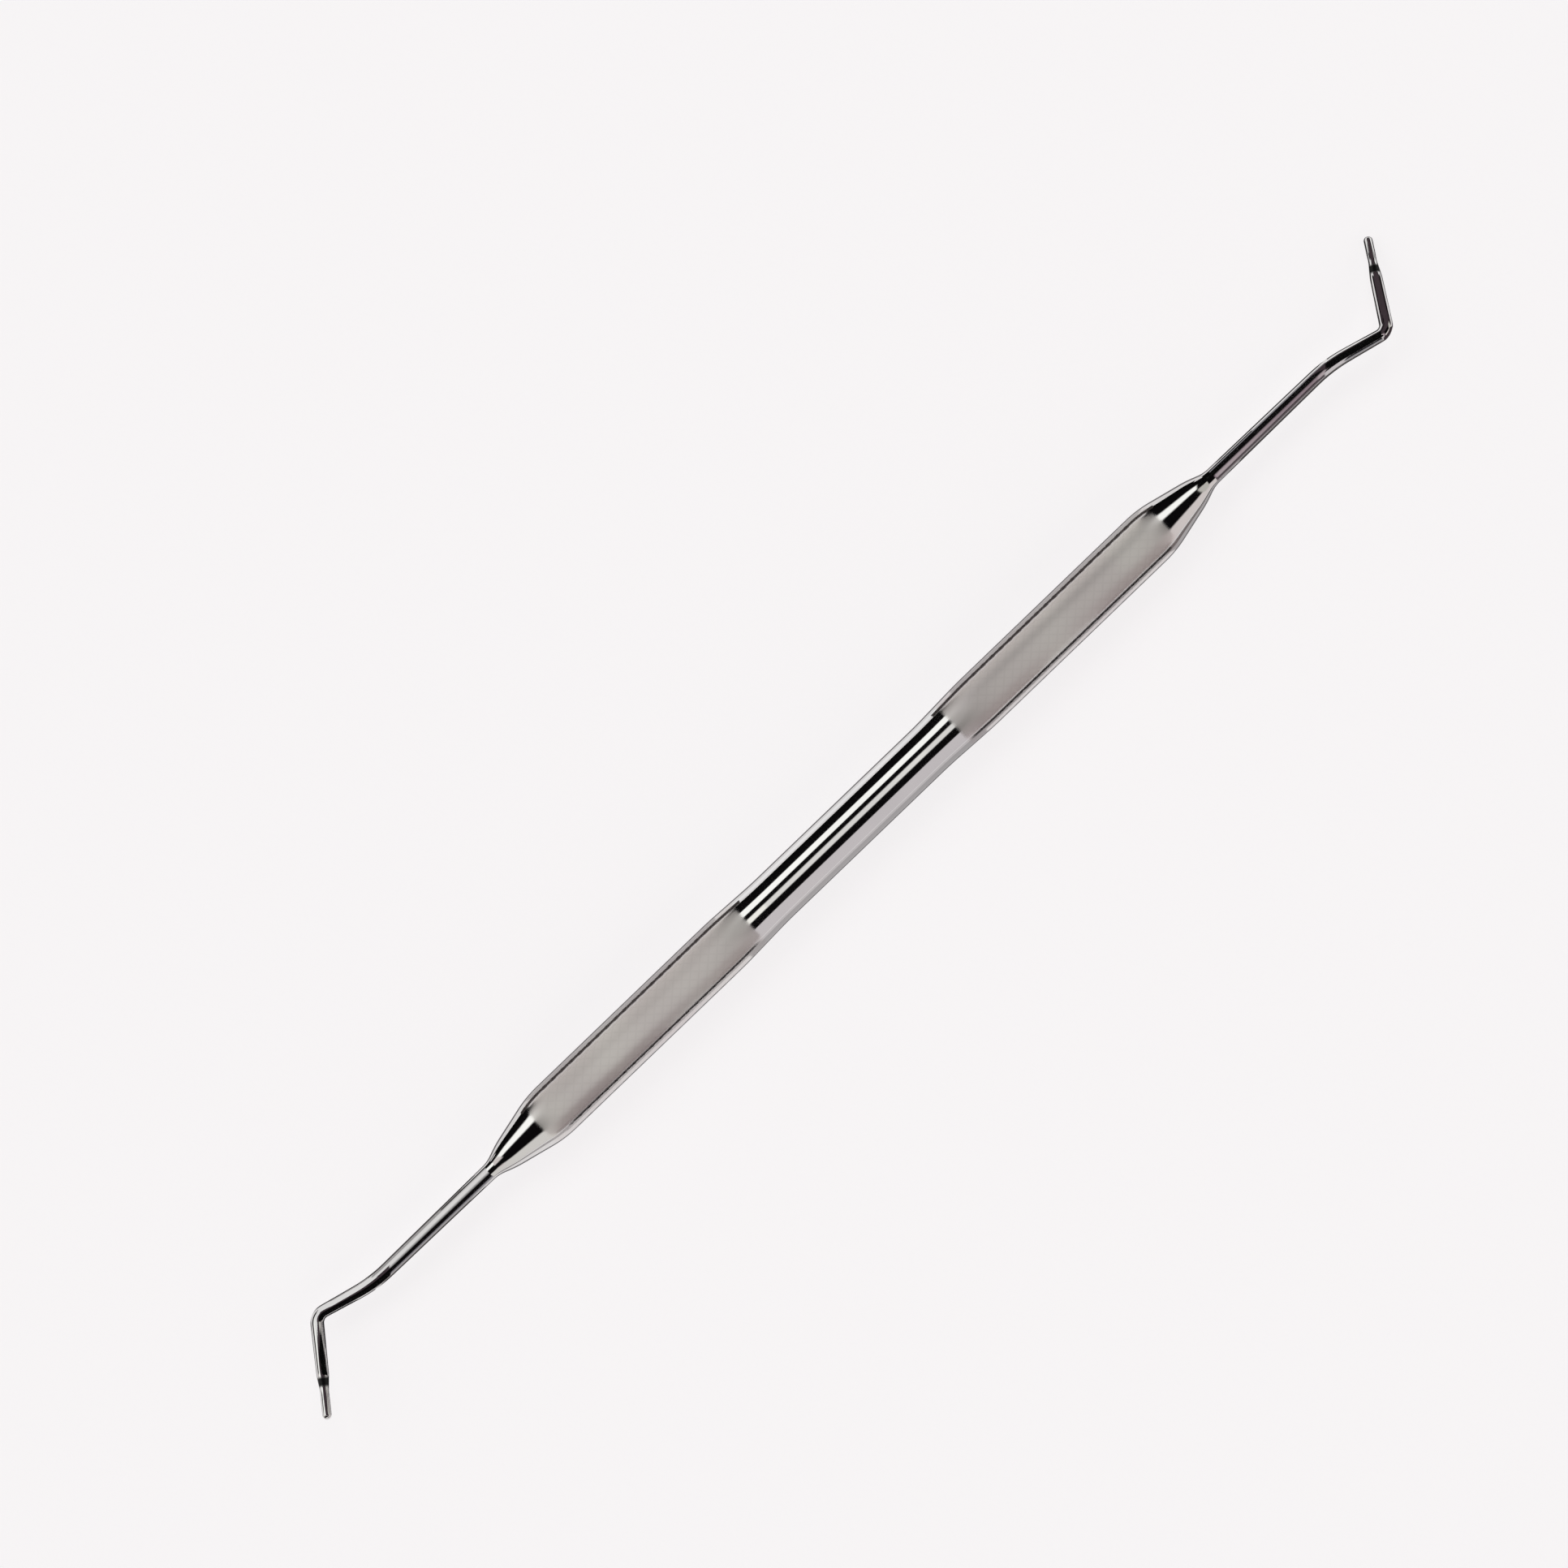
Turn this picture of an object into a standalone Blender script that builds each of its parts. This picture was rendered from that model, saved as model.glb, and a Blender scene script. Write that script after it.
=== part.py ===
"""Double-ended probe made from one round steel bar: waist, two grips, two bent and tapered ends.

Metres, +Z up. The handle lies along X on the surface z = 0, and both ends bend in one plane.
That plane is rolled about the handle until the +X tip touches the surface, as the probe comes to rest.
"""
from math import asin, atan2, cos, pi, radians, sin, tan

import bmesh
import bpy
from mathutils import Matrix, Vector

# Section of the bar: flats around it, one of them facing down.
SECTION_SIDES = 24

# Handle, from its middle outwards. Each cone ends in a steeper nose, next to the shank.
WAIST_DIAMETER = 0.0058
WAIST_LENGTH = 0.0250
BLEND_LENGTH = 0.0064
BLEND_RADIUS = 0.060
GRIP_DIAMETER = 0.00635
GRIP_LENGTH = 0.0277
SHOULDER_RADIUS = 0.014
CONE_LENGTH = 0.0081
NOSE_LENGTH = 0.0021
NOSE_DIAMETER = 0.0035
NOSE_RADIUS = 0.014
NECK_RADIUS = 0.004

# Shank, from the cone to the sharp bend. Lengths run between the corners of the centre line.
SHANK_DIAMETER = 0.00194
SHANK_LENGTH = 0.0182
FIRST_BEND_ANGLE = radians(15.4)
FIRST_BEND_RADIUS = 0.016
FIRST_BEND_DIAMETER = 0.00166
ARM_LENGTH = 0.00737
ARM_DIAMETER = 0.00146

# Working tip, from the sharp bend to its rounded end.
TIP_ANGLE = radians(56.7)
SECOND_BEND_RADIUS = 0.0014
TIP_LENGTH = 0.0116
TIP_ROOT_DIAMETER = 0.00150
TAPER_LENGTH = 0.0056
TAPER_END_DIAMETER = 0.00138
NIB_LENGTH = 0.0030
NIB_NECK_DIAMETER = 0.00094
NIB_DIAMETER = 0.00100
NIB_SWELL_LENGTH = 0.0009
TIP_EDGE_RADIUS = 0.004

# Fineness of the facets.
PROFILE_STEP = radians(3.5)
BEND_STEP = radians(6.0)
END_RINGS = 5

STEEL_COLOUR = (0.62, 0.61, 0.59, 1.0)
STEEL_ROUGHNESS = 0.28


def clear_scene():
    """Start from an empty scene."""
    for item in list(bpy.data.objects):
        bpy.data.objects.remove(item, do_unlink=True)


def steel_material():
    """Bare stainless steel."""
    material = bpy.data.materials.new("stainless_steel")
    material.use_nodes = True
    shader = material.node_tree.nodes["Principled BSDF"]
    shader.inputs["Base Color"].default_value = STEEL_COLOUR
    shader.inputs["Metallic"].default_value = 1.0
    shader.inputs["Roughness"].default_value = STEEL_ROUGHNESS
    return material


def centre_runs():
    """Stretches of one half of the centre line, as (length, turn), from the middle to the tip."""
    second_bend_angle = FIRST_BEND_ANGLE + TIP_ANGLE
    first_tangent = FIRST_BEND_RADIUS * tan(FIRST_BEND_ANGLE / 2)
    second_tangent = SECOND_BEND_RADIUS * tan(second_bend_angle / 2)
    handle = WAIST_LENGTH / 2 + BLEND_LENGTH + GRIP_LENGTH + CONE_LENGTH
    return [
        (handle + SHANK_LENGTH - first_tangent, 0.0),
        (FIRST_BEND_RADIUS * FIRST_BEND_ANGLE, -FIRST_BEND_ANGLE),
        (ARM_LENGTH - first_tangent - second_tangent, 0.0),
        (SECOND_BEND_RADIUS * second_bend_angle, second_bend_angle),
        (TIP_LENGTH - second_tangent, 0.0),
    ]


def along_centre(distance, runs):
    """Place and heading of the centre line at a distance from the middle, in the bending plane."""
    place = Vector((0.0, 0.0))
    heading = 0.0
    left = distance
    for length, turn in runs:
        step = min(left, length)
        turned = turn * step / length
        chord = step if turn == 0.0 else 2 * sin(turned / 2) * length / turn
        middle_heading = heading + turned / 2
        place += chord * Vector((cos(middle_heading), sin(middle_heading)))
        heading += turned
        left -= step
    return place, heading


def rounded(corners):
    """A line through (distance, radius, rounding) corners, each inner corner rounded by an arc."""
    points = [corners[0][:2]]
    for before, corner, after in zip(corners, corners[1:], corners[2:]):
        here = Vector(corner[:2])
        back = Vector(before[:2]) - here
        ahead = Vector(after[:2]) - here
        turn = atan2(-back.cross(ahead), -back.dot(ahead))
        reach = min(corner[2] * tan(abs(turn) / 2), 0.49 * back.length, 0.49 * ahead.length)
        if reach == 0.0:
            points.append(tuple(here))
            continue
        radius = reach / tan(abs(turn) / 2)
        heading = atan2(-back.y, -back.x)
        side = 1.0 if turn > 0 else -1.0
        start = here + back.normalized() * reach
        centre = start + side * radius * Vector((-sin(heading), cos(heading)))
        steps = max(2, round(abs(turn) / PROFILE_STEP))
        for index in range(steps + 1):
            angle = heading + turn * index / steps
            points.append(tuple(centre + side * radius * Vector((sin(angle), -cos(angle)))))
    points.append(corners[-1][:2])
    return points


def bar_profile(runs):
    """Radius of the bar along one half of its centre line, as (distance, radius) points."""
    total = sum(length for length, turn in runs)
    waist_end = WAIST_LENGTH / 2
    grip_start = waist_end + BLEND_LENGTH
    cone_start = grip_start + GRIP_LENGTH
    cone_end = cone_start + CONE_LENGTH
    first_bend = runs[0][0] + runs[1][0] / 2
    arm_end = sum(length for length, turn in runs[:3])
    tip_root = total - runs[4][0]
    narrow_start = tip_root + TAPER_LENGTH
    nib_neck = total - NIB_LENGTH
    nib_radius = NIB_DIAMETER / 2
    corners = [
        (0.0, WAIST_DIAMETER / 2, 0.0),
        (waist_end, WAIST_DIAMETER / 2, BLEND_RADIUS),
        (grip_start, GRIP_DIAMETER / 2, BLEND_RADIUS),
        (cone_start, GRIP_DIAMETER / 2, SHOULDER_RADIUS),
        (cone_end - NOSE_LENGTH, NOSE_DIAMETER / 2, NOSE_RADIUS),
        (cone_end, SHANK_DIAMETER / 2, NECK_RADIUS),
        (first_bend, FIRST_BEND_DIAMETER / 2, 0.0),
        (arm_end, ARM_DIAMETER / 2, 0.0),
        (tip_root, TIP_ROOT_DIAMETER / 2, 0.0),
        (narrow_start, TAPER_END_DIAMETER / 2, TIP_EDGE_RADIUS),
        (nib_neck, NIB_NECK_DIAMETER / 2, TIP_EDGE_RADIUS),
        (nib_neck + NIB_SWELL_LENGTH, nib_radius, TIP_EDGE_RADIUS),
        (total - nib_radius, nib_radius, 0.0),
    ]
    return rounded(corners)


def radius_at(distance, profile):
    """Radius of the bar at a distance, read between the profile's points."""
    for (start, first), (end, second) in zip(profile, profile[1:]):
        if distance <= end:
            return first + (second - first) * (distance - start) / (end - start)
    return profile[-1][1]


def half_stations():
    """Rings of one half, as (place, heading, radius), from the middle to the tip's end."""
    runs = centre_runs()
    profile = bar_profile(runs)
    distances = {distance for distance, radius in profile}
    passed = 0.0
    for length, turn in runs:
        steps = max(1, round(abs(turn) / BEND_STEP))
        distances.update(passed + length * index / steps for index in range(steps + 1) if turn)
        passed += length
    stations = []
    for distance in sorted(distances):
        if stations and distance - stations[-1][0] < 1e-5:
            continue
        stations.append((distance, radius_at(distance, profile)))
    end_distance, end_radius = profile[-1]
    for index in range(1, END_RINGS):
        angle = pi / 2 * index / END_RINGS
        stations.append((end_distance + end_radius * sin(angle), end_radius * cos(angle)))
    return [(*along_centre(distance, runs), radius) for distance, radius in stations]


def resting_roll():
    """Roll of the bending plane about the handle that brings the +X tip down to the surface."""
    runs = centre_runs()
    nib_radius = NIB_DIAMETER / 2
    place, heading = along_centre(sum(length for length, turn in runs) - nib_radius, runs)
    corner_radius = nib_radius / cos(pi / SECTION_SIDES)
    return -asin((GRIP_DIAMETER / 2 - corner_radius) / place.y)


def ring_matrix(place, heading, radius, roll):
    """Places a circle across the centre line, its flats touching a circle of the radius."""
    corner_radius = radius / cos(pi / SECTION_SIDES)
    axes = Matrix((
        (0.0, sin(heading), cos(heading)),
        (0.0, -cos(heading), sin(heading)),
        (1.0, 0.0, 0.0),
    )).to_4x4()
    flat_down = Matrix.Rotation(pi / SECTION_SIDES - roll, 4, "Z")
    size = Matrix.Diagonal((corner_radius, corner_radius, 1.0, 1.0))
    return Matrix.Translation((place.x, place.y, 0.0)) @ axes @ flat_down @ size


def probe_mesh():
    """The whole bar: a ring carried along the centre line, from one tip to the other."""
    roll = resting_roll()
    half = half_stations()
    other = [(-place, heading, radius) for place, heading, radius in reversed(half[1:])]
    rings = [ring_matrix(*station, roll) for station in other + half]
    mesh = bmesh.new()
    first = bmesh.ops.create_circle(
        mesh, cap_ends=True, segments=SECTION_SIDES, radius=1.0, matrix=rings[0])
    edges = list({edge for vert in first["verts"] for edge in vert.link_edges})
    for last, ring in zip(rings, rings[1:]):
        grown = bmesh.ops.extrude_edge_only(mesh, edges=edges)["geom"]
        verts = [item for item in grown if isinstance(item, bmesh.types.BMVert)]
        edges = [item for item in grown if isinstance(item, bmesh.types.BMEdge)
                 and item.is_boundary]
        bmesh.ops.transform(mesh, matrix=ring @ last.inverted(), verts=verts)
    bmesh.ops.contextual_create(mesh, geom=edges)
    to_rest = Matrix.Translation((0.0, 0.0, GRIP_DIAMETER / 2)) @ Matrix.Rotation(roll, 4, "X")
    bmesh.ops.transform(mesh, matrix=to_rest, verts=mesh.verts)
    bmesh.ops.recalc_face_normals(mesh, faces=mesh.faces)
    return mesh


def add_probe():
    """The finished part, one object in one steel."""
    data = bpy.data.meshes.new("double_ended_probe")
    mesh = probe_mesh()
    mesh.to_mesh(data)
    mesh.free()
    data.materials.append(steel_material())
    data.shade_smooth()
    data.set_sharp_from_angle(angle=radians(30.0))
    part = bpy.data.objects.new("double_ended_probe", data)
    bpy.context.scene.collection.objects.link(part)


def main():
    clear_scene()
    add_probe()


main()
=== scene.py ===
"""Looks of the double-ended probe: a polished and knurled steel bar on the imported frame.

Metres, +Z up. The handle lies along X on the floor z = 0, as in the frame.
"""
from math import asin, atan2, cos, hypot, pi, radians, sin, tan, tau

import bmesh
import bpy
from mathutils import Matrix, Vector


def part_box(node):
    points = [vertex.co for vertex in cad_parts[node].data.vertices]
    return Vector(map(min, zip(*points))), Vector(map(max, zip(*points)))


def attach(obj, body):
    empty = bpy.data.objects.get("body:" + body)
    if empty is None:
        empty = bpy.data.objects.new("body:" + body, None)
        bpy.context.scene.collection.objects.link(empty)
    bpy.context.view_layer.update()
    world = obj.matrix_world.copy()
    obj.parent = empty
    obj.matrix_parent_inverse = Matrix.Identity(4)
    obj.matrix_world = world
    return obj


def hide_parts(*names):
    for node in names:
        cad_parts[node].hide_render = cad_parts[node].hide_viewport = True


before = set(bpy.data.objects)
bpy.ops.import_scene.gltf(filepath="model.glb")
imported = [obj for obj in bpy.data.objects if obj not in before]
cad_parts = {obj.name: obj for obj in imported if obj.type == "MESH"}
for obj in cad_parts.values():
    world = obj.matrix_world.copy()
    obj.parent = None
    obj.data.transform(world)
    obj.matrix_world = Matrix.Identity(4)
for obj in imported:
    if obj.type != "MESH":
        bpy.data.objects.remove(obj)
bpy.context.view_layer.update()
CAD_LOW, CAD_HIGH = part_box("double_ended_probe")

# Handle, from its middle outwards. Each cone ends in a steeper nose, next to the shank.
GRIP_RADIUS = (CAD_HIGH.z - CAD_LOW.z) / 2
WAIST_RADIUS = 0.0029
WAIST_LENGTH = 0.0250
BLEND_LENGTH = 0.0064
BLEND_ROUNDING = 0.060
GRIP_LENGTH = 0.0277
SHOULDER_ROUNDING = 0.014
CONE_LENGTH = 0.0081
NOSE_LENGTH = 0.0021
NOSE_RADIUS = 0.00175
NOSE_ROUNDING = 0.014
NECK_ROUNDING = 0.004

# Shank, from the cone to the sharp bend. Lengths run between the corners of the centre line.
SHANK_RADIUS = 0.00097
SHANK_LENGTH = 0.0182
FIRST_BEND_ANGLE = radians(15.4)
FIRST_BEND_ROUNDING = 0.016
FIRST_BEND_RADIUS = 0.00083
ARM_LENGTH = 0.00737
ARM_RADIUS = 0.00073

# Working tip, from the sharp bend to its rounded end.
TIP_ANGLE = radians(56.7)
SECOND_BEND_ROUNDING = 0.0014
TIP_LENGTH = 0.0116
TIP_ROOT_RADIUS = 0.00075
TAPER_LENGTH = 0.0056
TAPER_END_RADIUS = 0.00069
NIB_LENGTH = 0.0030
NIB_NECK_RADIUS = 0.00047
NIB_RADIUS = 0.00050
NIB_SWELL_LENGTH = 0.0009
TIP_EDGE_ROUNDING = 0.004
SOLID_SIDES = 24

# Knurl: crossing spiral grooves, cut into the grips before the waist and the cones are turned.
KNURL_STARTS = 16
KNURL_PITCH = 0.00136
KNURL_DEPTH = 0.0000045
GROOVE_HALF_WIDTH = 0.2
MATTE_START = 0.01565
MATTE_END = 0.0474
MATTE_EDGE = 0.0004
# Painted shade along the knurl grooves: where it starts and ends on each grip, and how softly.
SHADED_GROOVES_START = 0.0184
SHADED_GROOVES_END = 0.0456
SHADED_GROOVES_FADE = 0.0008

# Dark ring on each tip, measured back from its end.
MARK_START = 0.0036
MARK_END = 0.0046
MARK_SOFTNESS = 0.0002

# Fineness of the mesh: points around the bar and rows along it. A rounding takes less than
# half of the stretch on each side of its corner.
TIP_SIDES = 40
NECK_SPLIT = 0.0590
ROWS_PER_PITCH = 10
ROW_LENGTH = 0.0008
PROFILE_STEP = radians(1.0)
PROFILE_STEPS = 6
ROUNDING_SHARE = 0.49
BEND_STEP = radians(2.5)
END_RINGS = 8
WELD_DISTANCE = 0.00001

# Steel.
POLISHED_COLOUR = (0.72, 0.71, 0.70, 1.0)
POLISHED_SHADE = (0.66, 0.655, 0.65, 1.0)
GRIP_COLOUR = (0.70, 0.68, 0.66, 1.0)
GRIP_SHADE = (0.64, 0.605, 0.60, 1.0)
# Painted shade in the knurl grooves: their bottoms take 1 minus this share of the dark colour.
GROOVE_PAINTED_SHADE = 0.96
MARK_AND_GROOVE_PAINTED_SHADE_COLOUR = (0.03, 0.03, 0.03, 1.0)

# Finish. Each range of the noise or of the facing angle is carried to a range of roughness.
CLOUD_SCALE = 90.0
CLOUD_RANGE = (0.3, 0.7)
TURNING_SCALE = 60.0
TURNING_STRETCH = (90.0, 1.0, 1.0)
TURNING_RANGE = (0.25, 0.75)
POLISH_ROUGHNESS = (0.04, 0.08)
FACING_BLEND = 0.5
FACING_RANGE = (0.16, 0.30)
GRIP_ROUGHNESS = (0.37, 0.13)
GRAIN_SCALE = 9000.0
GRAIN_DETAIL = 3.0
GRAIN_ROUGHNESS = 0.04
GRAIN_STRENGTH = 0.06
GRAIN_HEIGHT = 0.00001
MARK_ROUGHNESS = 0.35

# Camera: over the probe, turned so that the handle rises to the right.
PHOTO_WIDTH = 1932
PHOTO_SCALE = 0.00008933
HANDLE_ANGLE = radians(43.875)
HANDLE_CENTRE = Vector((1048.6, 1015.5))
LENS = 85.0
SENSOR = 36.0
CLIP_START = 0.01

# Studio light. Strips run along the probe, by their angle from straight up, towards -Y.
# Each is its start, its end, the softness of its edges and its colour.
BACKDROP_COLOUR = (0.922, 0.905, 0.913, 1.0)
WHITE_LIGHT = (1.32, 1.33, 1.30)
BRIGHT_LIGHT = (1.22, 1.21, 1.15)
SOFT_LIGHT = (0.95, 0.94, 0.92)
PALE_LIGHT = (0.82, 0.76, 0.75)
CONE_LIGHT = (0.82, 0.80, 0.775)
LILAC_LIGHT = (0.74, 0.70, 0.72)
SHANK_LIGHT = (0.96, 0.95, 0.95)
GREY_LIGHT = (0.33, 0.32, 0.35)
NECK_LIGHT = (0.55, 0.47, 0.50)
PINK_LIGHT = (0.33, 0.25, 0.29)
NOSE_LIGHT = (0.62, 0.61, 0.57)
DIM_LIGHT = (0.16, 0.13, 0.145)
GAP_COLOUR = (0.004, 0.0035, 0.004)
MINUS_NOSE_STRIPS = ((-84, -13, 12, PALE_LIGHT), (36, 92, 14, PALE_LIGHT))
MINUS_CONE_STRIPS = ((-61, -27, 8, WHITE_LIGHT), (37, 92, 8, CONE_LIGHT))
MINUS_SHANK_STRIPS = ((-78, -3, 38, SHANK_LIGHT), (66, 96, 14, GREY_LIGHT))
WAIST_STRIPS = ((-56, -32, 2, WHITE_LIGHT), (-12.5, 7.5, 4, SOFT_LIGHT), (38.5, 97, 2, LILAC_LIGHT))
WAIST_END_STRIPS = ((-56, -32, 2, WHITE_LIGHT), (-13, 7, 4, BRIGHT_LIGHT), (38.5, 97, 2, LILAC_LIGHT))
PLUS_NECK_STRIPS = ((-94, -68, 8, GREY_LIGHT), (3, 54, 20, NECK_LIGHT), (66, 96, 8, DIM_LIGHT))
PLUS_SHANK_STRIPS = ((-94, -68, 8, GREY_LIGHT), (5, 49, 20, PINK_LIGHT), (56, 96, 8, DIM_LIGHT))
PLUS_CONE_STRIPS = ((-48, -17, 8, WHITE_LIGHT), (40, 92, 8, PALE_LIGHT))
PLUS_NOSE_STRIPS = ((-8, 96, 10, NOSE_LIGHT),)
END_STRIPS = ((-80, -30, 20, DIM_LIGHT), (50, 90, 20, DIM_LIGHT))

# Groups of strips by their tilt towards +X: where each starts, how softly, and its strips.
FIRST_STRIPS = END_STRIPS
LIGHT_GROUPS = (
    (-62, 3, MINUS_NOSE_STRIPS),
    (-43, 1.5, MINUS_CONE_STRIPS),
    (-14, 1.5, MINUS_SHANK_STRIPS),
    (-6, 0.6, WAIST_STRIPS),
    (1.9, 0.4, WAIST_END_STRIPS),
    (6, 0.6, PLUS_NECK_STRIPS),
    (9.8, 0.9, PLUS_SHANK_STRIPS),
    (14, 1.5, PLUS_CONE_STRIPS),
    (43, 1.5, PLUS_NOSE_STRIPS),
    (62, 3, END_STRIPS),
)

# Studio cards that only the steel mirrors: middle, length, width, tilt, turn and colour.
BLACK_CARD = (0.003, 0.003, 0.003, 1.0)
DARK_CARD = (0.060, 0.044, 0.052, 1.0)
BROWN_CARD = (0.050, 0.043, 0.042, 1.0)
# Painted shadow: the next two are dark sheets on the floor under the probe, for its own shadow as the
# steel mirrors it.
PAINTED_SHADOW_CARD = (0.21, 0.20, 0.205, 1.0)
PAINTED_DEEP_SHADOW_CARD = (0.05, 0.048, 0.049, 1.0)
DIM_CARD = (0.17, 0.155, 0.155, 1.0)
RIM_CARD = (0.22, 0.19, 0.19, 1.0)
DULL_CARD = (0.36, 0.335, 0.335, 1.0)
GREY_CARD = (0.50, 0.48, 0.49, 1.0)
SOFT_CARD = (0.60, 0.585, 0.59, 1.0)
STREAK_CARD = (0.44, 0.43, 0.415, 1.0)
FAINT_STREAK_CARD = (0.60, 0.585, 0.56, 1.0)
WARM_CARD = (0.655, 0.643, 0.618, 1.0)
MUTED_WARM_CARD = (0.575, 0.562, 0.54, 1.0)
PALE_WARM_CARD = (0.705, 0.68, 0.65, 1.0)
PINK_CARD = (0.42, 0.37, 0.36, 1.0)
DEEP_PINK_CARD = (0.37, 0.325, 0.32, 1.0)
LILAC_CARD = (0.70, 0.665, 0.68, 1.0)
WHITE_CARD = (1.0, 1.0, 1.0, 1.0)
RIM_LIGHT_CARD = (1.08, 1.08, 1.10, 1.0)
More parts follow.
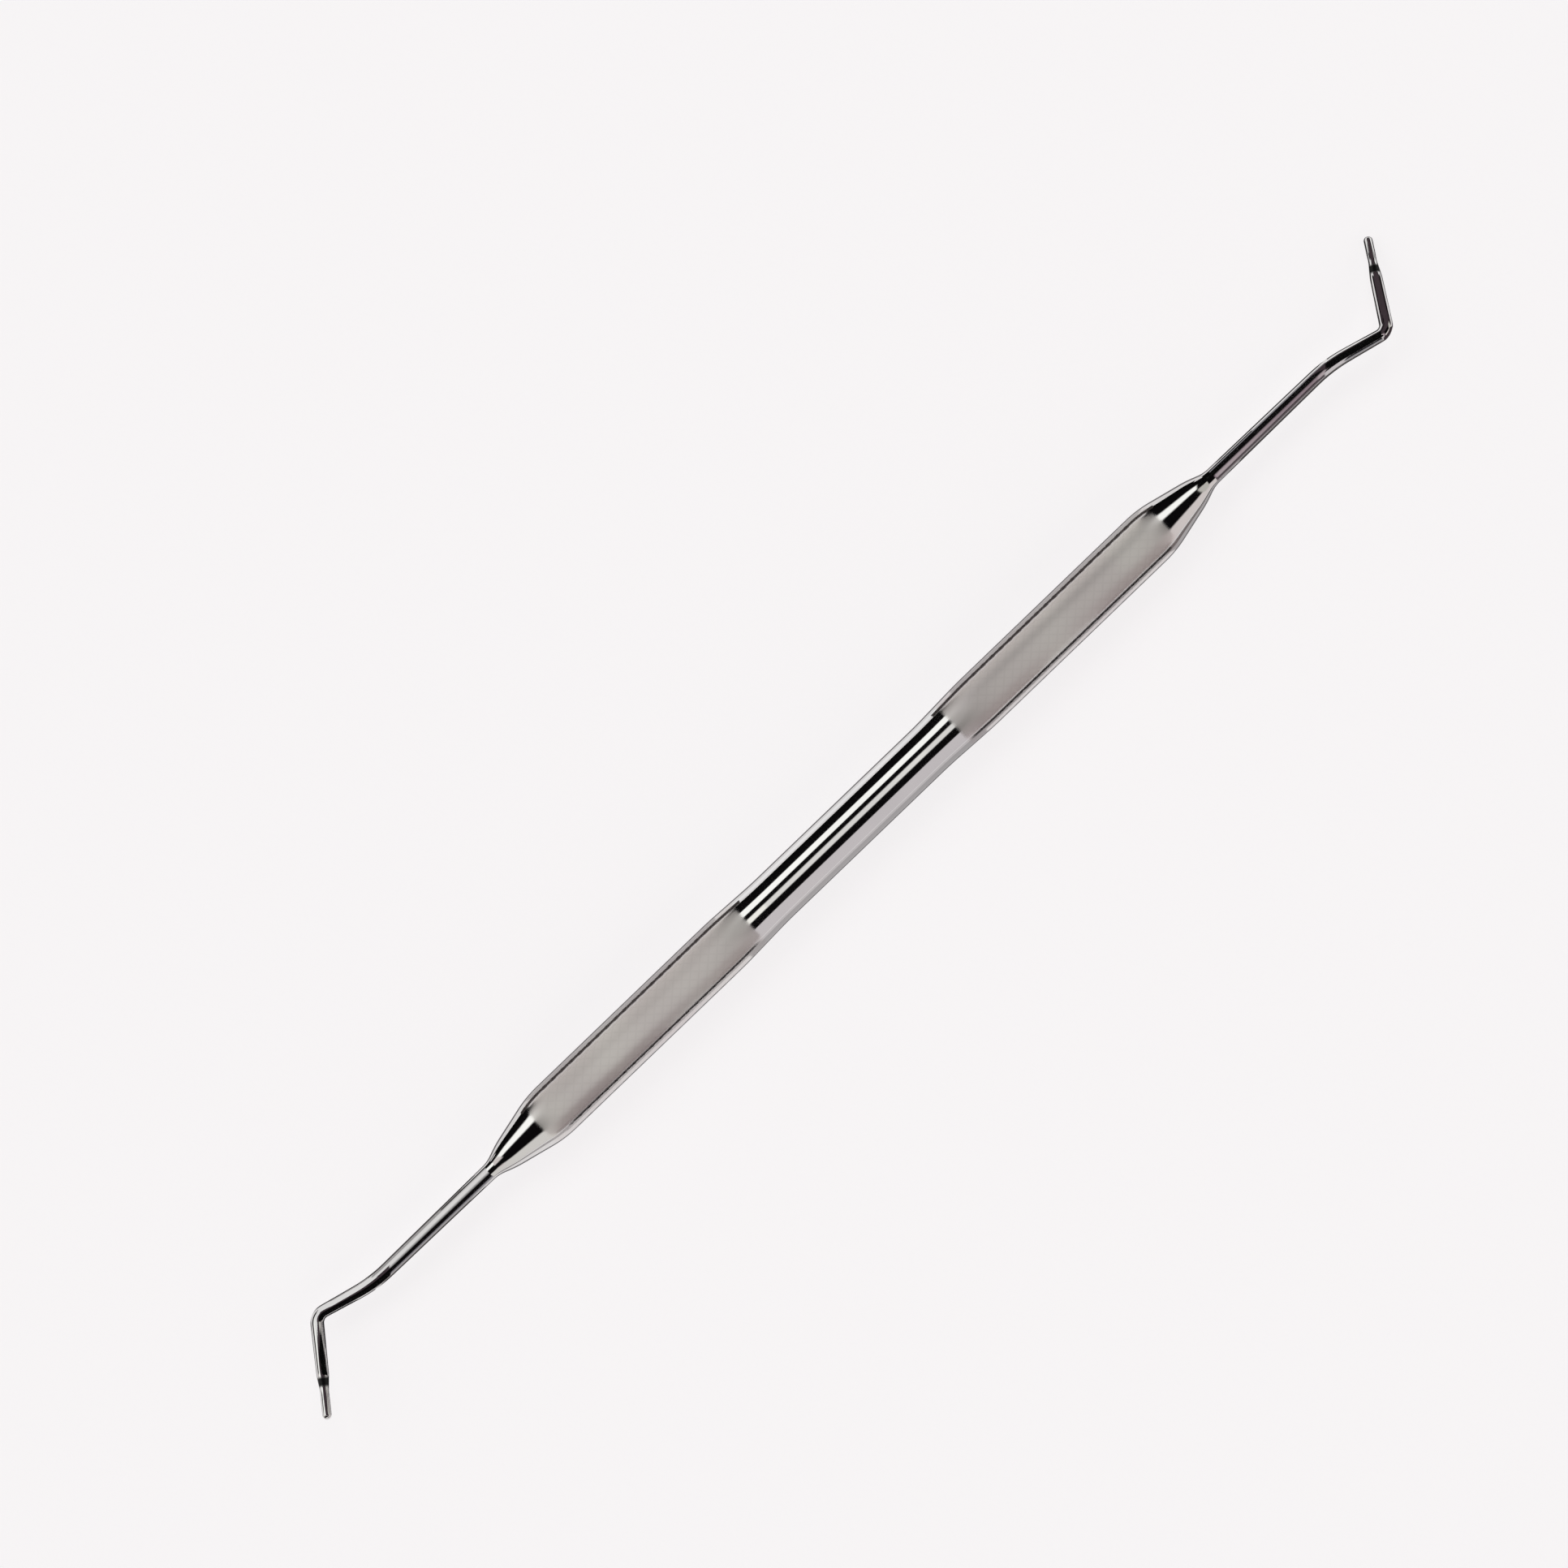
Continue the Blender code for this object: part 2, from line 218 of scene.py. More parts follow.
CARDS = {
    # Painted shadow: the under_ cards lie on the floor below the probe and darken the floor that its
    # rims mirror.
    "under_handle": ((0.0, 0.0, 0.0001), 0.115, 0.0108, 0, 0, PAINTED_SHADOW_CARD),
    "under_shank_plus": ((0.0655, 0.0, 0.0001), 0.016, 0.0144, 0, 0, PAINTED_DEEP_SHADOW_CARD),
    "under_shank_minus": ((-0.0655, 0.0, 0.0001), 0.016, 0.0144, 0, 0, PAINTED_DEEP_SHADOW_CARD),
    "under_arm_plus": ((0.0774, -0.0010, 0.00012), 0.0080, 0.0130, 0, -14, PAINTED_DEEP_SHADOW_CARD),
    "under_arm_minus": ((-0.0774, 0.0010, 0.00012), 0.0080, 0.0110, 0, -14, PAINTED_DEEP_SHADOW_CARD),
    "under_tip_plus": ((0.0835, 0.0031, 0.00015), 0.0116, 0.0090, 0, 55, PAINTED_DEEP_SHADOW_CARD),
    "under_tip_minus": ((-0.0835, -0.0031, 0.00015), 0.0116, 0.0110, 0, 55, PAINTED_DEEP_SHADOW_CARD),
    "waist_left": ((0.0, 0.030, 0.0058), 0.031, 0.0084, 90, 0, BLACK_CARD),
    "waist_floor_left": ((0.0, 0.0130, 0.0001), 0.031, 0.0090, 0, 0, RIM_LIGHT_CARD),
    # Painted shadow: a grey sheet on the floor beside the waist, towards -Y, darkens the floor that
    # the steel mirrors there.
    "waist_right": ((0.0, -0.0127, 0.0001), 0.036, 0.0142, 0, 0, GREY_CARD),
    "waist_far_right": ((0.0, -0.060, 0.0001), 0.044, 0.080, 0, 0, LILAC_CARD),
    "grip_floor_left_plus": ((0.033, 0.0081, 0.0001), 0.030, 0.0048, 0, 0, SOFT_CARD),
    "grip_floor_left_minus": ((-0.033, 0.0081, 0.0001), 0.030, 0.0048, 0, 0, SOFT_CARD),
    "grip_floor_right_plus": ((0.033, -0.0132, 0.0001), 0.030, 0.0060, 0, 0, GREY_CARD),
    "grip_floor_right_minus": ((-0.033, -0.0150, 0.0001), 0.030, 0.0040, 0, 0, GREY_CARD),
    "grip_low_left_plus": ((0.0330, 0.0105, 0.0023), 0.0370, 0.0034, 90, 0, BROWN_CARD),
    "grip_low_left_minus": ((-0.0330, 0.0105, 0.0023), 0.0370, 0.0034, 90, 0, BROWN_CARD),
    "grip_low_right_plus": ((0.033, -0.017, 0.0021), 0.034, 0.0042, 90, 0, BLACK_CARD),
    "grip_low_right_minus": ((-0.0315, -0.022, 0.0026), 0.031, 0.0052, 90, 0, BLACK_CARD),
    "grip_top_plus": ((0.0350, -0.003, 0.022), 0.0380, 0.023, 0, 0, MUTED_WARM_CARD),
    "grip_top_minus": ((-0.0350, -0.003, 0.022), 0.0380, 0.023, 0, 0, WARM_CARD),
    "grip_streak_plus": ((0.0350, 0.0173, 0.022), 0.0380, 0.0176, 0, 0, STREAK_CARD),
    "grip_streak_minus": ((-0.0350, 0.0173, 0.022), 0.0380, 0.0176, 0, 0, FAINT_STREAK_CARD),
    "grip_left_plus": ((0.0350, 0.032, 0.0135), 0.0380, 0.0225, -60, 0, PALE_WARM_CARD),
    "grip_left_minus": ((-0.0350, 0.032, 0.0135), 0.0380, 0.0225, -60, 0, PALE_WARM_CARD),
    "grip_right_plus_by_waist": ((0.0222, -0.022, 0.015), 0.0130, 0.020, 60, 0, PINK_CARD),
    "grip_right_plus_middle": ((0.0330, -0.022, 0.015), 0.0085, 0.020, 60, 0, WARM_CARD),
    "grip_right_plus_by_cone": ((0.0456, -0.022, 0.015), 0.0168, 0.020, 60, 0, PINK_CARD),
    "grip_right_minus_by_waist": ((-0.0202, -0.022, 0.015), 0.0086, 0.020, 60, 0, PINK_CARD),
    "grip_right_minus_middle": ((-0.0280, -0.022, 0.015), 0.0070, 0.020, 60, 0, MUTED_WARM_CARD),
    "grip_right_minus_by_cone": ((-0.0427, -0.022, 0.015), 0.0225, 0.020, 60, 0, DEEP_PINK_CARD),
    "cone_left_plus": ((0.0580, 0.017, 0.0028), 0.013, 0.0056, 90, 0, BLACK_CARD),
    "cone_left_minus": ((-0.0580, 0.017, 0.0028), 0.013, 0.0056, 90, 0, BLACK_CARD),
    "cone_right_plus": ((0.0535, -0.0455, 0.0001), 0.012, 0.067, 0, 0, RIM_CARD),
    "cone_rim_plus": ((0.0535, -0.0087, 0.0001), 0.012, 0.0066, 0, 0, GREY_CARD),
    "neck_plus": ((0.0558, 0.0022, 0.0055), 0.0024, 0.0040, 0, 0, BLACK_CARD),
    "cone_right_minus": ((-0.0535, -0.0475, 0.0001), 0.012, 0.063, 0, 0, GREY_CARD),
    "shank_left_minus": ((-0.0690, 0.0272, 0.0001), 0.018, 0.040, 0, 0, DULL_CARD),
    "shank_right_plus": ((0.0690, -0.0272, 0.0001), 0.018, 0.040, 0, 0, DIM_CARD),
    "shank_right_minus": ((-0.0690, -0.0272, 0.0001), 0.018, 0.040, 0, 0, DULL_CARD),
    "arm_plus_left": ((0.0765, 0.0015, 0.0065), 0.007, 0.006, 0, -14, BLACK_CARD),
    "elbow_right_plus": ((0.0845, -0.0105, 0.0048), 0.012, 0.0094, 90, 20.6, DARK_CARD),
    "elbow_floor_plus": ((0.0835, -0.0076, 0.00013), 0.012, 0.0062, 0, 20.6, DARK_CARD),
    "arm_minus_left": ((-0.0770, 0.0075, 0.0058), 0.007, 0.0125, -50, 0, WHITE_CARD),
    "arm_minus_right": ((-0.0775, -0.0041, 0.0058), 0.012, 0.0115, 40, -14, BLACK_CARD),
    "tip_plus": ((0.0850, 0.0110, 0.0105), 0.024, 0.024, 0, 0, DARK_CARD),
    "tip_minus": ((-0.0795, -0.0005, 0.0130), 0.015, 0.013, 0, 0, DARK_CARD),
    "nib_left_plus": ((0.0830, 0.0200, 0.0030), 0.010, 0.006, 90, 0, WHITE_CARD),
    "nib_right_plus": ((0.1000, 0.0080, 0.0040), 0.009, 0.008, 90, 90, WHITE_CARD),
}
FLOOR_SIZE = 6.0
FLOOR_SHARE = 0.35
FLOOR_GLOW = 0.865
STAGE_ROUGHNESS = 0.9


def centre_runs():
    """Stretches of one half of the centre line, as (length, turn), from the middle to the tip."""
    second_bend_angle = FIRST_BEND_ANGLE + TIP_ANGLE
    first_tangent = FIRST_BEND_ROUNDING * tan(FIRST_BEND_ANGLE / 2)
    second_tangent = SECOND_BEND_ROUNDING * tan(second_bend_angle / 2)
    handle = WAIST_LENGTH / 2 + BLEND_LENGTH + GRIP_LENGTH + CONE_LENGTH
    return [
        (handle + SHANK_LENGTH - first_tangent, 0.0),
        (FIRST_BEND_ROUNDING * FIRST_BEND_ANGLE, -FIRST_BEND_ANGLE),
        (ARM_LENGTH - first_tangent - second_tangent, 0.0),
        (SECOND_BEND_ROUNDING * second_bend_angle, second_bend_angle),
        (TIP_LENGTH - second_tangent, 0.0),
    ]


def along_centre(distance, runs):
    """Place and heading of the centre line at a distance from the middle, in the bending plane."""
    place = Vector((0.0, 0.0))
    heading = 0.0
    left = distance
    for length, turn in runs:
        step = min(left, length)
        turned = turn * step / length
        chord = step if turn == 0.0 else 2 * sin(turned / 2) * length / turn
        middle_heading = heading + turned / 2
        place += chord * Vector((cos(middle_heading), sin(middle_heading)))
        heading += turned
        left -= step
    return place, heading


def rounded(corners):
    """A line through (distance, radius, rounding) corners, each inner corner rounded by an arc."""
    points = [corners[0][:2]]
    for before, corner, after in zip(corners, corners[1:], corners[2:]):
        here = Vector(corner[:2])
        back = Vector(before[:2]) - here
        ahead = Vector(after[:2]) - here
        turn = atan2(-back.cross(ahead), -back.dot(ahead))
        room = ROUNDING_SHARE * min(back.length, ahead.length)
        reach = min(corner[2] * tan(abs(turn) / 2), room)
        if reach == 0.0:
            points.append(tuple(here))
            continue
        radius = reach / tan(abs(turn) / 2)
        heading = atan2(-back.y, -back.x)
        side = 1.0 if turn > 0 else -1.0
        start = here + back.normalized() * reach
        centre = start + side * radius * Vector((-sin(heading), cos(heading)))
        steps = max(PROFILE_STEPS, round(abs(turn) / PROFILE_STEP))
        for index in range(steps + 1):
            angle = heading + turn * index / steps
            points.append(tuple(centre + side * radius * Vector((sin(angle), -cos(angle)))))
    points.append(corners[-1][:2])
    return points


def bar_profile(runs):
    """Radius of the bar along one half of its centre line, as (distance, radius) points."""
    total = sum(length for length, turn in runs)
    waist_end = WAIST_LENGTH / 2
    grip_start = waist_end + BLEND_LENGTH
    cone_start = grip_start + GRIP_LENGTH
    cone_end = cone_start + CONE_LENGTH
    first_bend = runs[0][0] + runs[1][0] / 2
    arm_end = sum(length for length, turn in runs[:3])
    tip_root = total - runs[4][0]
    nib_neck = total - NIB_LENGTH
    corners = [
        (0.0, WAIST_RADIUS, 0.0),
        (waist_end, WAIST_RADIUS, BLEND_ROUNDING),
        (grip_start, GRIP_RADIUS, BLEND_ROUNDING),
        (cone_start, GRIP_RADIUS, SHOULDER_ROUNDING),
        (cone_end - NOSE_LENGTH, NOSE_RADIUS, NOSE_ROUNDING),
        (cone_end, SHANK_RADIUS, NECK_ROUNDING),
        (first_bend, FIRST_BEND_RADIUS, 0.0),
        (arm_end, ARM_RADIUS, 0.0),
        (tip_root, TIP_ROOT_RADIUS, 0.0),
        (tip_root + TAPER_LENGTH, TAPER_END_RADIUS, TIP_EDGE_ROUNDING),
        (nib_neck, NIB_NECK_RADIUS, TIP_EDGE_ROUNDING),
        (nib_neck + NIB_SWELL_LENGTH, NIB_RADIUS, TIP_EDGE_ROUNDING),
        (total - NIB_RADIUS, NIB_RADIUS, 0.0),
    ]
    return rounded(corners)


def radius_at(distance, profile):
    """Radius of the bar at a distance, read between the profile's points."""
    for (start, first), (end, second) in zip(profile, profile[1:]):
        if distance <= end:
            return first + (second - first) * (distance - start) / (end - start)
    return profile[-1][1]


def knurl_rows():
    """Distances of the rows across a grip, a whole number of them in each pitch of the knurl."""
    row = KNURL_PITCH / ROWS_PER_PITCH
    first = round(MATTE_START / row + 1)
    last = round(MATTE_END / row - 1)
    return [MATTE_START, *(row * index for index in range(first, last + 1)), MATTE_END]


def ring_distances(runs, profile):
    """Distances from the middle at which the bar has a row of points."""
    distances = {distance for distance, radius in profile}
    passed = 0.0
    for length, turn in runs:
        steps = max(1, round(abs(turn) / BEND_STEP))
        distances.update(passed + length * index / steps for index in range(steps + 1) if turn)
        passed += length
    plain = [distance for distance in distances if not MATTE_START <= distance <= MATTE_END]
    rows = []
    for distance in sorted(plain + knurl_rows()):
        if rows and distance - rows[-1] < WELD_DISTANCE:
            continue
        gap = distance - rows[-1] if rows else 0.0
        fill = int(gap / ROW_LENGTH)
        rows += [rows[-1] + gap * index / (fill + 1) for index in range(1, fill + 1)]
        rows.append(distance)
    return rows


def half_stations():
    """Rings of one half, as (distance, radius), from the tip's end to the middle."""
    runs = centre_runs()
    profile = bar_profile(runs)
    end_distance, end_radius = profile[-1]
    stations = []
    for index in range(END_RINGS - 1, 0, -1):
        angle = pi / 2 * index / END_RINGS
        stations.append((end_distance + end_radius * sin(angle), end_radius * cos(angle)))
    for distance in reversed(ring_distances(runs, profile)):
        stations.append((distance, radius_at(distance, profile)))
    return stations


def ring_matrix(distance, radius, runs):
    """Places a circle of radius 1 across the centre line, at the bar's radius."""
    place, heading = along_centre(distance, runs)
    axes = Matrix((
        (0.0, sin(heading), cos(heading)),
        (0.0, -cos(heading), sin(heading)),
        (1.0, 0.0, 0.0),
    )).to_4x4()
    size = Matrix.Diagonal((radius, radius, 1.0, 1.0))
    return Matrix.Translation((place.x, place.y, 0.0)) @ axes @ size


def doubled_loop(mesh, edges, centre):
    """Gives an open loop twice as many sides, with the new points on the circle too."""
    split = bmesh.ops.bisect_edges(mesh, edges=edges, cuts=1)["geom_split"]
    verts = [item for item in split if isinstance(item, bmesh.types.BMVert)]
    outwards = 1 / cos(pi / len(edges))
    bmesh.ops.scale(mesh, vec=(outwards,) * 3, space=Matrix.Translation(-centre), verts=verts)
    return list({edge for vert in verts for edge in vert.link_edges})


def next_ring(mesh, edges, step):
    """Extrudes an open loop once and moves its new points by the step."""
    grown = bmesh.ops.extrude_edge_only(mesh, edges=edges)["geom"]
    verts = [item for item in grown if isinstance(item, bmesh.types.BMVert)]
    bmesh.ops.transform(mesh, matrix=step, verts=verts)
    edges = [item for item in grown if isinstance(item, bmesh.types.BMEdge) and item.is_boundary]
    return verts, edges


def half_bar():
    """One half of the bar, grown ring by ring from the tip's end to an open ring at the middle."""
    runs = centre_runs()
    stations = half_stations()
    splits = [MATTE_END, NECK_SPLIT]
    mesh = bmesh.new()
    reach = mesh.verts.layers.float.new("reach")
    last = ring_matrix(*stations[0], runs)
    first = bmesh.ops.create_circle(
        mesh, cap_ends=True, cap_tris=True, segments=TIP_SIDES, radius=1.0, matrix=last)
    for vert in first["verts"]:
        vert[reach] = stations[0][0]
    edges = [edge for edge in mesh.edges if edge.is_boundary]
    for distance, radius in stations[1:]:
        ring = ring_matrix(distance, radius, runs)
        verts, edges = next_ring(mesh, edges, ring @ last.inverted())
        for vert in verts:
            vert[reach] = distance
        if splits and distance <= splits[-1]:
            edges = doubled_loop(mesh, edges, ring.translation)
            splits.pop()
        last = ring
    return mesh


def add_other_half(mesh):
    """The other end is the same one, turned half way round, and joined at the middle."""
    geom = mesh.verts[:] + mesh.edges[:] + mesh.faces[:]
    copied = bmesh.ops.duplicate(mesh, geom=geom)["geom"]
    verts = [item for item in copied if isinstance(item, bmesh.types.BMVert)]
    bmesh.ops.rotate(mesh, cent=(0.0, 0.0, 0.0), matrix=Matrix.Rotation(pi, 3, "Z"), verts=verts)
    middle = [vert for vert in mesh.verts if abs(vert.co.x) < WELD_DISTANCE]
    bmesh.ops.remove_doubles(mesh, verts=middle, dist=WELD_DISTANCE)


def groove_share(turns):
    """How deep a spiral groove is at a place, from 1 along its middle to 0 past its edge."""
    off = abs(turns - round(turns)) / GROOVE_HALF_WIDTH
    return (1 - off * off) ** 2 if off < 1 else 0.0


def cut_knurl(mesh):
    """Cuts the crossing grooves. They die out where the bar is turned thinner than their bottom."""
    for vert in mesh.verts:
        if not MATTE_START < abs(vert.co.x) < MATTE_END:
            continue
        around = KNURL_STARTS * atan2(vert.co.y, vert.co.z) / tau
        along = vert.co.x / KNURL_PITCH
        share = max(groove_share(around + along), groove_share(around - along))
        radius = hypot(vert.co.y, vert.co.z)
        bottom = min(radius, GRIP_RADIUS - KNURL_DEPTH * share)
        vert.co.y *= bottom / radius
        vert.co.z *= bottom / radius


def resting_roll():
    """Roll of the bending plane about the handle with the +X tip on the floor, as in the frame."""
    runs = centre_runs()
    place, heading = along_centre(sum(length for length, turn in runs) - NIB_RADIUS, runs)
    corner_radius = NIB_RADIUS / cos(pi / SOLID_SIDES)
    return -asin((GRIP_RADIUS - corner_radius) / place.y)


def lay_down(mesh):
    """Rolls the bending plane to its rest and lifts the grips onto the floor."""
    lift = Matrix.Translation((0.0, 0.0, GRIP_RADIUS))
    bmesh.ops.transform(mesh, matrix=lift @ Matrix.Rotation(resting_roll(), 4, "X"), verts=mesh.verts)


def add_probe():
    """The finished probe, one closed piece with its knurled grips."""
    mesh = half_bar()
    add_other_half(mesh)
    for face in mesh.faces:
        face.smooth = True
    cut_knurl(mesh)
    lay_down(mesh)
    bmesh.ops.recalc_face_normals(mesh, faces=mesh.faces)
    data = bpy.data.meshes.new("finished_probe")
    mesh.to_mesh(data)
    mesh.free()
    data.materials.append(probe_steel())
    piece = bpy.data.objects.new("finished_probe", data)
    bpy.context.scene.collection.objects.link(piece)
    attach(piece, "root")
    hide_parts("double_ended_probe")


def add_node(tree, kind, settings=(), inputs=()):
    """A shader node with its settings and with values or links on its inputs."""
    node = tree.nodes.new("ShaderNode" + kind)
    for name, value in dict(settings).items():
        setattr(node, name, value)
    for name, value in dict(inputs).items():
        if isinstance(value, bpy.types.NodeSocket):
            tree.links.new(value, node.inputs[name])
        else:
            node.inputs[name].default_value = value
    return node


def calculated(tree, operation, *values):
    """The result of one step of arithmetic."""
    return add_node(tree, "Math", {"operation": operation}, dict(enumerate(values))).outputs["Value"]


def mapped(tree, value, start, end, low, high):
    """A value carried smoothly from one range to another."""
    ranged = add_node(tree, "MapRange", {"interpolation_type": "SMOOTHSTEP"}, {
        "Value": value, "From Min": start, "From Max": end, "To Min": low, "To Max": high})
    return ranged.outputs["Result"]


def mixed(tree, share, first, second):
    """One colour turning into another as the share grows."""
    mix = add_node(tree, "Mix", {"data_type": "RGBA"})
    for socket, value in ((mix.inputs[0], share), (mix.inputs[6], first), (mix.inputs[7], second)):
        if isinstance(value, bpy.types.NodeSocket):
            tree.links.new(value, socket)
        else:
            socket.default_value = value
    return mix.outputs[2]


def pattern(tree, scale, stretch=(1.0, 1.0, 1.0), detail=2.0):
    """Noise fixed to the piece, stretched along its axes."""
    place = add_node(tree, "TexCoord").outputs["Object"]
    placed = add_node(tree, "Mapping", inputs={"Vector": place, "Scale": stretch})
    noise = add_node(tree, "TexNoise", inputs={
        "Vector": placed.outputs["Vector"], "Scale": scale, "Detail": detail})
    return noise.outputs["Fac"]


def stretch_mask(tree, start, end, edge):
    """1 along a stretch of the bar, by the distance from its middle, and 0 outside it."""
    reach = add_node(tree, "Attribute", {"attribute_name": "reach"}).outputs["Fac"]
    on = mapped(tree, reach, start - edge, start + edge, 0.0, 1.0)
    off = mapped(tree, reach, end - edge, end + edge, 1.0, 0.0)
    return calculated(tree, "MULTIPLY", on, off)


def groove_lines(tree):
    """1 along the bottom of each spiral groove of the knurl."""
    place = add_node(tree, "TexCoord").outputs["Object"]
    axes = add_node(tree, "SeparateXYZ", inputs={"Vector": place})
    height = calculated(tree, "SUBTRACT", axes.outputs["Z"], GRIP_RADIUS)
    angle = calculated(tree, "ARCTAN2", axes.outputs["Y"], height)
    around = calculated(tree, "MULTIPLY", angle, KNURL_STARTS / tau)
    along = calculated(tree, "DIVIDE", axes.outputs["X"], KNURL_PITCH)
    lines = []
    for operation in ("ADD", "SUBTRACT"):
        turns = calculated(tree, operation, around, along)
        off = calculated(tree, "PINGPONG", turns, 0.5)
        lines.append(mapped(tree, off, 0.0, GROOVE_HALF_WIDTH, 1.0, 0.0))
    return calculated(tree, "MAXIMUM", *lines)


def steel_colour(tree, matte, mark):
    """Colour of the bare steel: polished, matte on the grips with painted shade along the knurl
    grooves, dark at the mark.
    """
    cloud = mapped(tree, pattern(tree, CLOUD_SCALE), *CLOUD_RANGE, 0.0, 1.0)
    polished = mixed(tree, cloud, POLISHED_COLOUR, POLISHED_SHADE)
    grip = mixed(tree, cloud, GRIP_COLOUR, GRIP_SHADE)
    # Painted shade: the bottoms of the knurl grooves are darkened in the colour.
    knurl = stretch_mask(tree, SHADED_GROOVES_START, SHADED_GROOVES_END, SHADED_GROOVES_FADE)
    groove = calculated(tree, "MULTIPLY", groove_lines(tree), knurl)
    grip_with_painted_groove_shade = mixed(tree, mapped(tree, groove, 0.0, 1.0, 0.0, 1.0 - GROOVE_PAINTED_SHADE), grip, MARK_AND_GROOVE_PAINTED_SHADE_COLOUR)
    return mixed(tree, mark, mixed(tree, matte, polished, grip_with_painted_groove_shade), MARK_AND_GROOVE_PAINTED_SHADE_COLOUR)


def steel_roughness(tree, matte, mark, grain):
    """Mirror polish with faint turning lines, and fine matte grips.

    The matte is glossier where it is seen along the surface, as fine matte metal is.
    """
    lines = pattern(tree, TURNING_SCALE, TURNING_STRETCH)
    polish = mapped(tree, lines, *TURNING_RANGE, *POLISH_ROUGHNESS)
    facing = add_node(tree, "LayerWeight", inputs={"Blend": FACING_BLEND}).outputs["Facing"]
    dull = mapped(tree, facing, *FACING_RANGE, *GRIP_ROUGHNESS)
    grained = calculated(tree, "MULTIPLY_ADD", grain, GRAIN_ROUGHNESS, dull)
    finish = add_node(tree, "Mix", {"data_type": "FLOAT"}, {0: matte, 2: polish, 3: grained})
    return calculated(tree, "MULTIPLY_ADD", mark, MARK_ROUGHNESS, finish.outputs[0])


def probe_steel():
    """Bare stainless steel in all its finishes."""
    material = bpy.data.materials.new("probe_steel")
    material.use_nodes = True
    tree = material.node_tree
    shader = tree.nodes["Principled BSDF"]
    shader.inputs["Metallic"].default_value = 1.0
    length = sum(run for run, turn in centre_runs())
    mark = stretch_mask(tree, length - MARK_END, length - MARK_START, MARK_SOFTNESS)
    matte = stretch_mask(tree, MATTE_START, MATTE_END, MATTE_EDGE)
    grain = pattern(tree, GRAIN_SCALE, detail=GRAIN_DETAIL)
    tree.links.new(steel_colour(tree, matte, mark), shader.inputs["Base Color"])
    tree.links.new(steel_roughness(tree, matte, mark, grain), shader.inputs["Roughness"])
    strength = calculated(tree, "MULTIPLY", matte, GRAIN_STRENGTH)
    bump = add_node(tree, "Bump", inputs={
        "Strength": strength, "Distance": GRAIN_HEIGHT, "Height": grain})
    tree.links.new(bump.outputs["Normal"], shader.inputs["Normal"])
    return material


def light_group(tree, turn, strips):
    """Colour of one group of strips by the turn about the probe, from 0 to 1 for a full circle."""
    ramp = add_node(tree, "ValToRGB", inputs={"Fac": turn})
    elements = ramp.color_ramp.elements
    elements.remove(elements[0])
    elements[0].position = 1.0
    elements[0].color = (*GAP_COLOUR, 1.0)
    stops = [(-180, GAP_COLOUR)]
    for start, end, softness, colour in strips:
        half = softness / 2
        stops += [(start - half, GAP_COLOUR), (start + half, colour)]
        stops += [(end - half, colour), (end + half, GAP_COLOUR)]
    for angle, colour in stops:
        elements.new(angle / 360 + 0.5).color = (*colour, 1.0)
    return ramp.outputs["Color"]


def strip_light(tree):
    """The light by its direction: groups of strips, one after the other from -X to +X."""
    direction = add_node(tree, "TexCoord").outputs["Generated"]
    axes = add_node(tree, "SeparateXYZ", inputs={"Vector": direction})
    towards = calculated(tree, "MULTIPLY", axes.outputs["Y"], -1.0)
    angle = calculated(tree, "ARCTAN2", towards, axes.outputs["Z"])
    turn = calculated(tree, "MULTIPLY_ADD", angle, 1 / tau, 0.5)
    tilt = calculated(tree, "DEGREES", calculated(tree, "ARCSINE", axes.outputs["X"]))
    light = light_group(tree, turn, FIRST_STRIPS)
    for start, softness, strips in LIGHT_GROUPS:
        reached = mapped(tree, tilt, start - softness, start + softness, 0.0, 1.0)
        light = mixed(tree, reached, light, light_group(tree, turn, strips))
    return light


def studio_light():
    """Soft strips of light along the probe with dark gaps between, and a plain pale backdrop."""
    world = bpy.data.worlds.new("studio")
    world.use_nodes = True
    bpy.context.scene.world = world
    tree = world.node_tree
    seen = add_node(tree, "LightPath").outputs["Is Camera Ray"]
    background = tree.nodes["Background"]
    tree.links.new(mixed(tree, seen, strip_light(tree), BACKDROP_COLOUR), background.inputs["Color"])
    background.inputs["Strength"].default_value = 1.0


def stage_plane(name, length, width, material):
    """A flat stage object, lying down."""
    mesh = bmesh.new()
    size = Matrix.Diagonal((length, width, 1.0, 1.0))
    bmesh.ops.create_grid(mesh, x_segments=1, y_segments=1, size=0.5, matrix=size)
    data = bpy.data.meshes.new(name)
    mesh.to_mesh(data)
    mesh.free()
    data.materials.append(material)
    plane = bpy.data.objects.new(name, data)
    bpy.context.scene.collection.objects.link(plane)
    return plane


def glowing(name, colour, share):
    """A matte material that takes a share of its level from the light and the rest from its glow."""
    material = bpy.data.materials.new(name)
    material.use_nodes = True
    shader = material.node_tree.nodes["Principled BSDF"]
    shader.inputs["Base Color"].default_value = (*(share * level for level in colour[:3]), 1.0)
    shader.inputs["Roughness"].default_value = STAGE_ROUGHNESS
    shader.inputs["Specular IOR Level"].default_value = 0.0
    shader.inputs["Emission Color"].default_value = colour
    return material, material.node_tree, shader


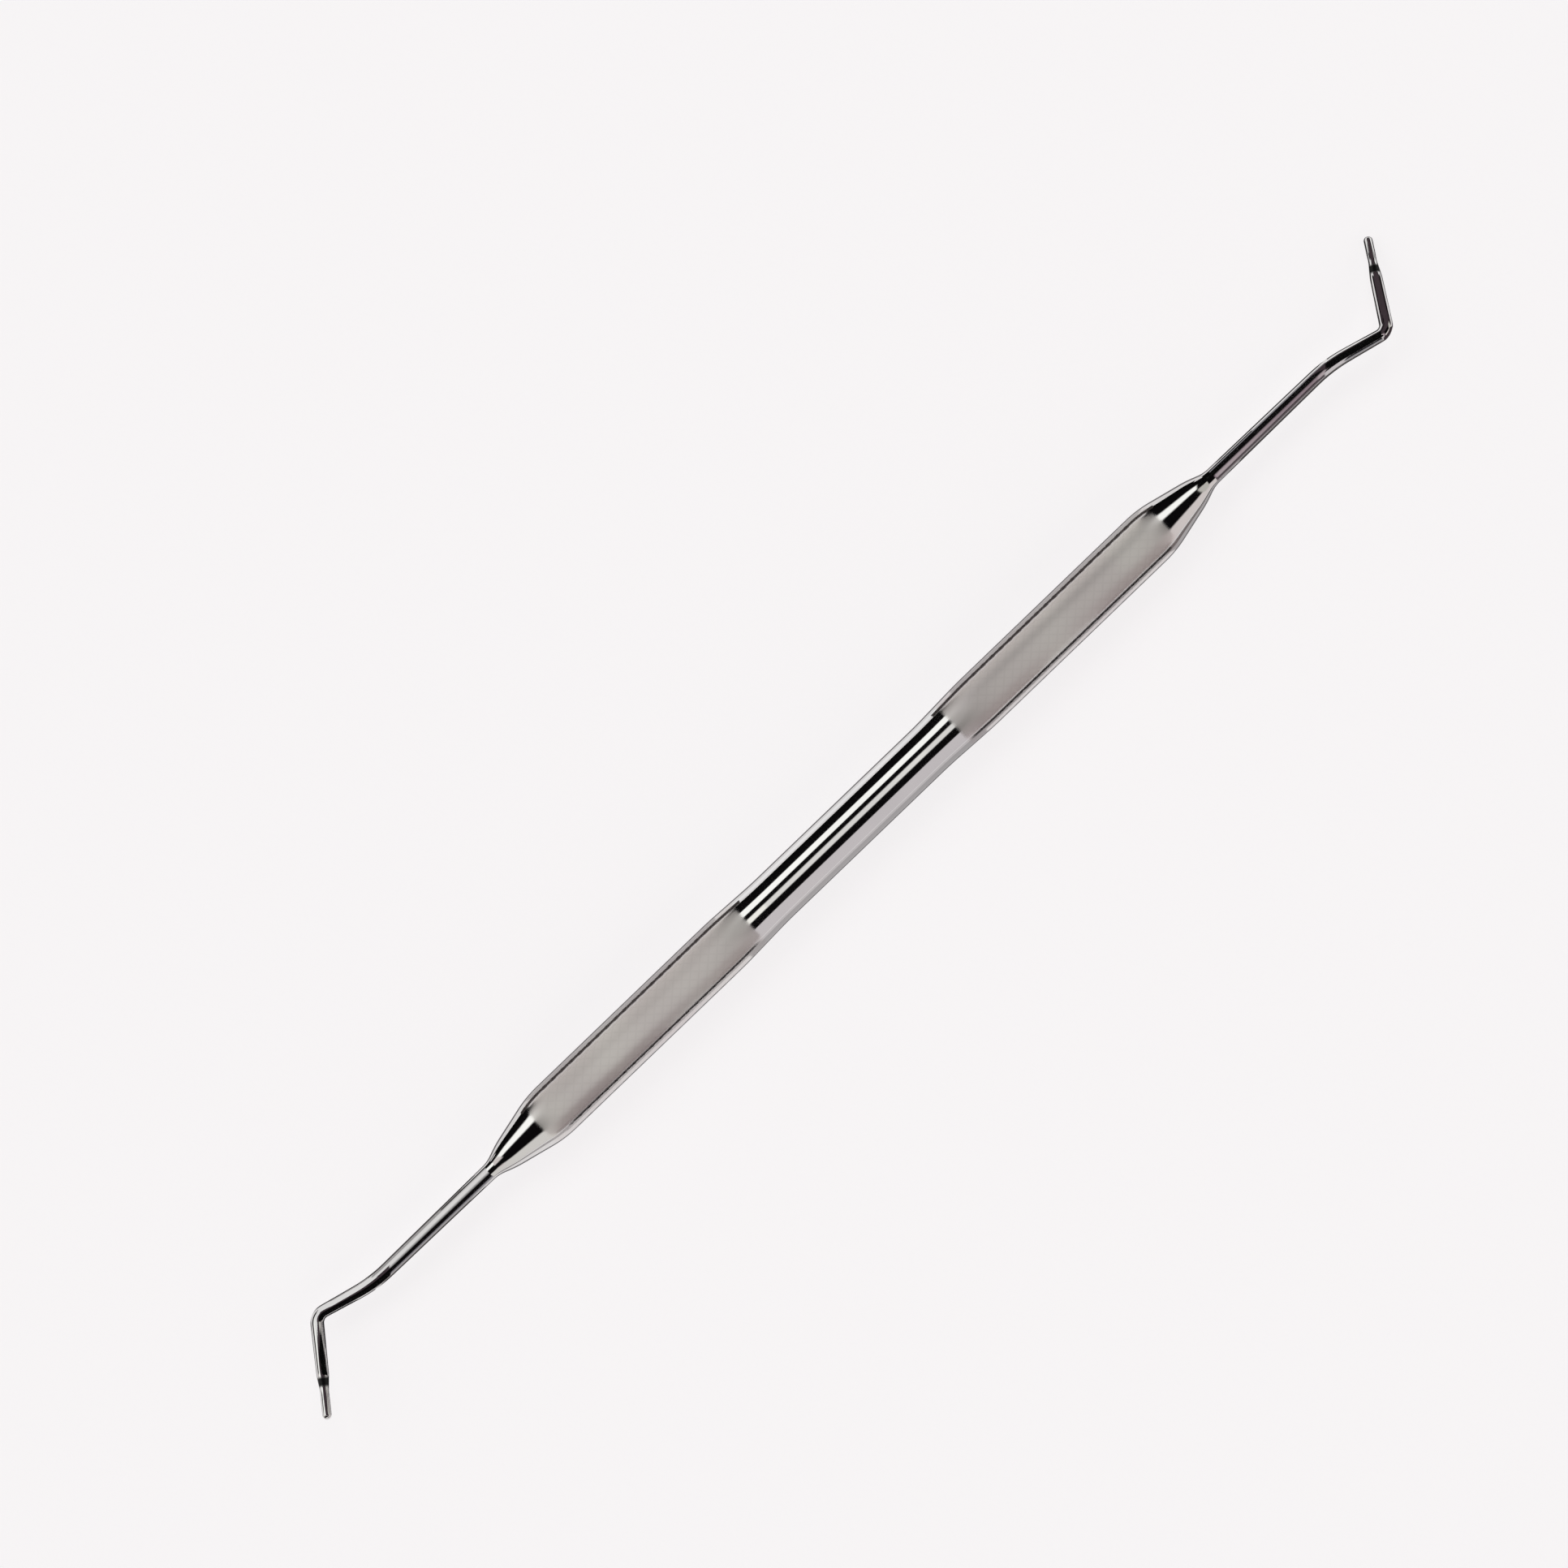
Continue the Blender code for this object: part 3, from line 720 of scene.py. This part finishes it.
def add_floor():
    """Plain pale floor that keeps the probe's soft shadow, and lights nothing by its glow."""
    material, tree, shader = glowing("pale_floor", BACKDROP_COLOUR, FLOOR_SHARE)
    path = add_node(tree, "LightPath")
    seen = path.outputs["Is Camera Ray"]
    for name in ("Is Glossy Ray", "Is Transmission Ray"):
        seen = calculated(tree, "MAXIMUM", seen, path.outputs[name])
    glow = calculated(tree, "MULTIPLY", seen, FLOOR_GLOW)
    tree.links.new(glow, shader.inputs["Emission Strength"])
    stage_plane("floor", FLOOR_SIZE, FLOOR_SIZE, material)


def add_cards():
    """Cards beside and under the probe that only its steel mirrors; the dark ones on the floor under
    it are painted shadow. They cast no shadow and aren't seen.
    """
    for name, (place, length, width, tilt, turn, colour) in CARDS.items():
        material, tree, shader = glowing(name, colour, 0.0)
        shader.inputs["Emission Strength"].default_value = 1.0
        card = stage_plane(name, length, width, material)
        card.location = place
        card.rotation_euler = (radians(tilt), 0.0, radians(turn))
        card.visible_camera = False
        card.visible_diffuse = False
        card.visible_shadow = False
        card.visible_transmission = False


def add_camera():
    """Straight down on the probe, with the handle where the photograph has it."""
    data = bpy.data.cameras.new("camera")
    data.lens = LENS
    data.sensor_width = SENSOR
    data.clip_start = CLIP_START
    width = PHOTO_WIDTH * PHOTO_SCALE
    middle = Vector((PHOTO_WIDTH / 2, PHOTO_WIDTH / 2))
    offset = (middle - HANDLE_CENTRE) * PHOTO_SCALE
    right = Vector((cos(HANDLE_ANGLE), -sin(HANDLE_ANGLE)))
    up = Vector((sin(HANDLE_ANGLE), cos(HANDLE_ANGLE)))
    place = right * offset.x - up * offset.y
    camera = bpy.data.objects.new("camera", data)
    camera.location = (place.x, place.y, GRIP_RADIUS + width * LENS / SENSOR)
    camera.rotation_euler = (0.0, 0.0, -HANDLE_ANGLE)
    bpy.context.scene.collection.objects.link(camera)
    bpy.context.scene.camera = camera


add_probe()
add_floor()
add_cards()
studio_light()
add_camera()
bpy.context.scene.view_settings.view_transform = "Standard"
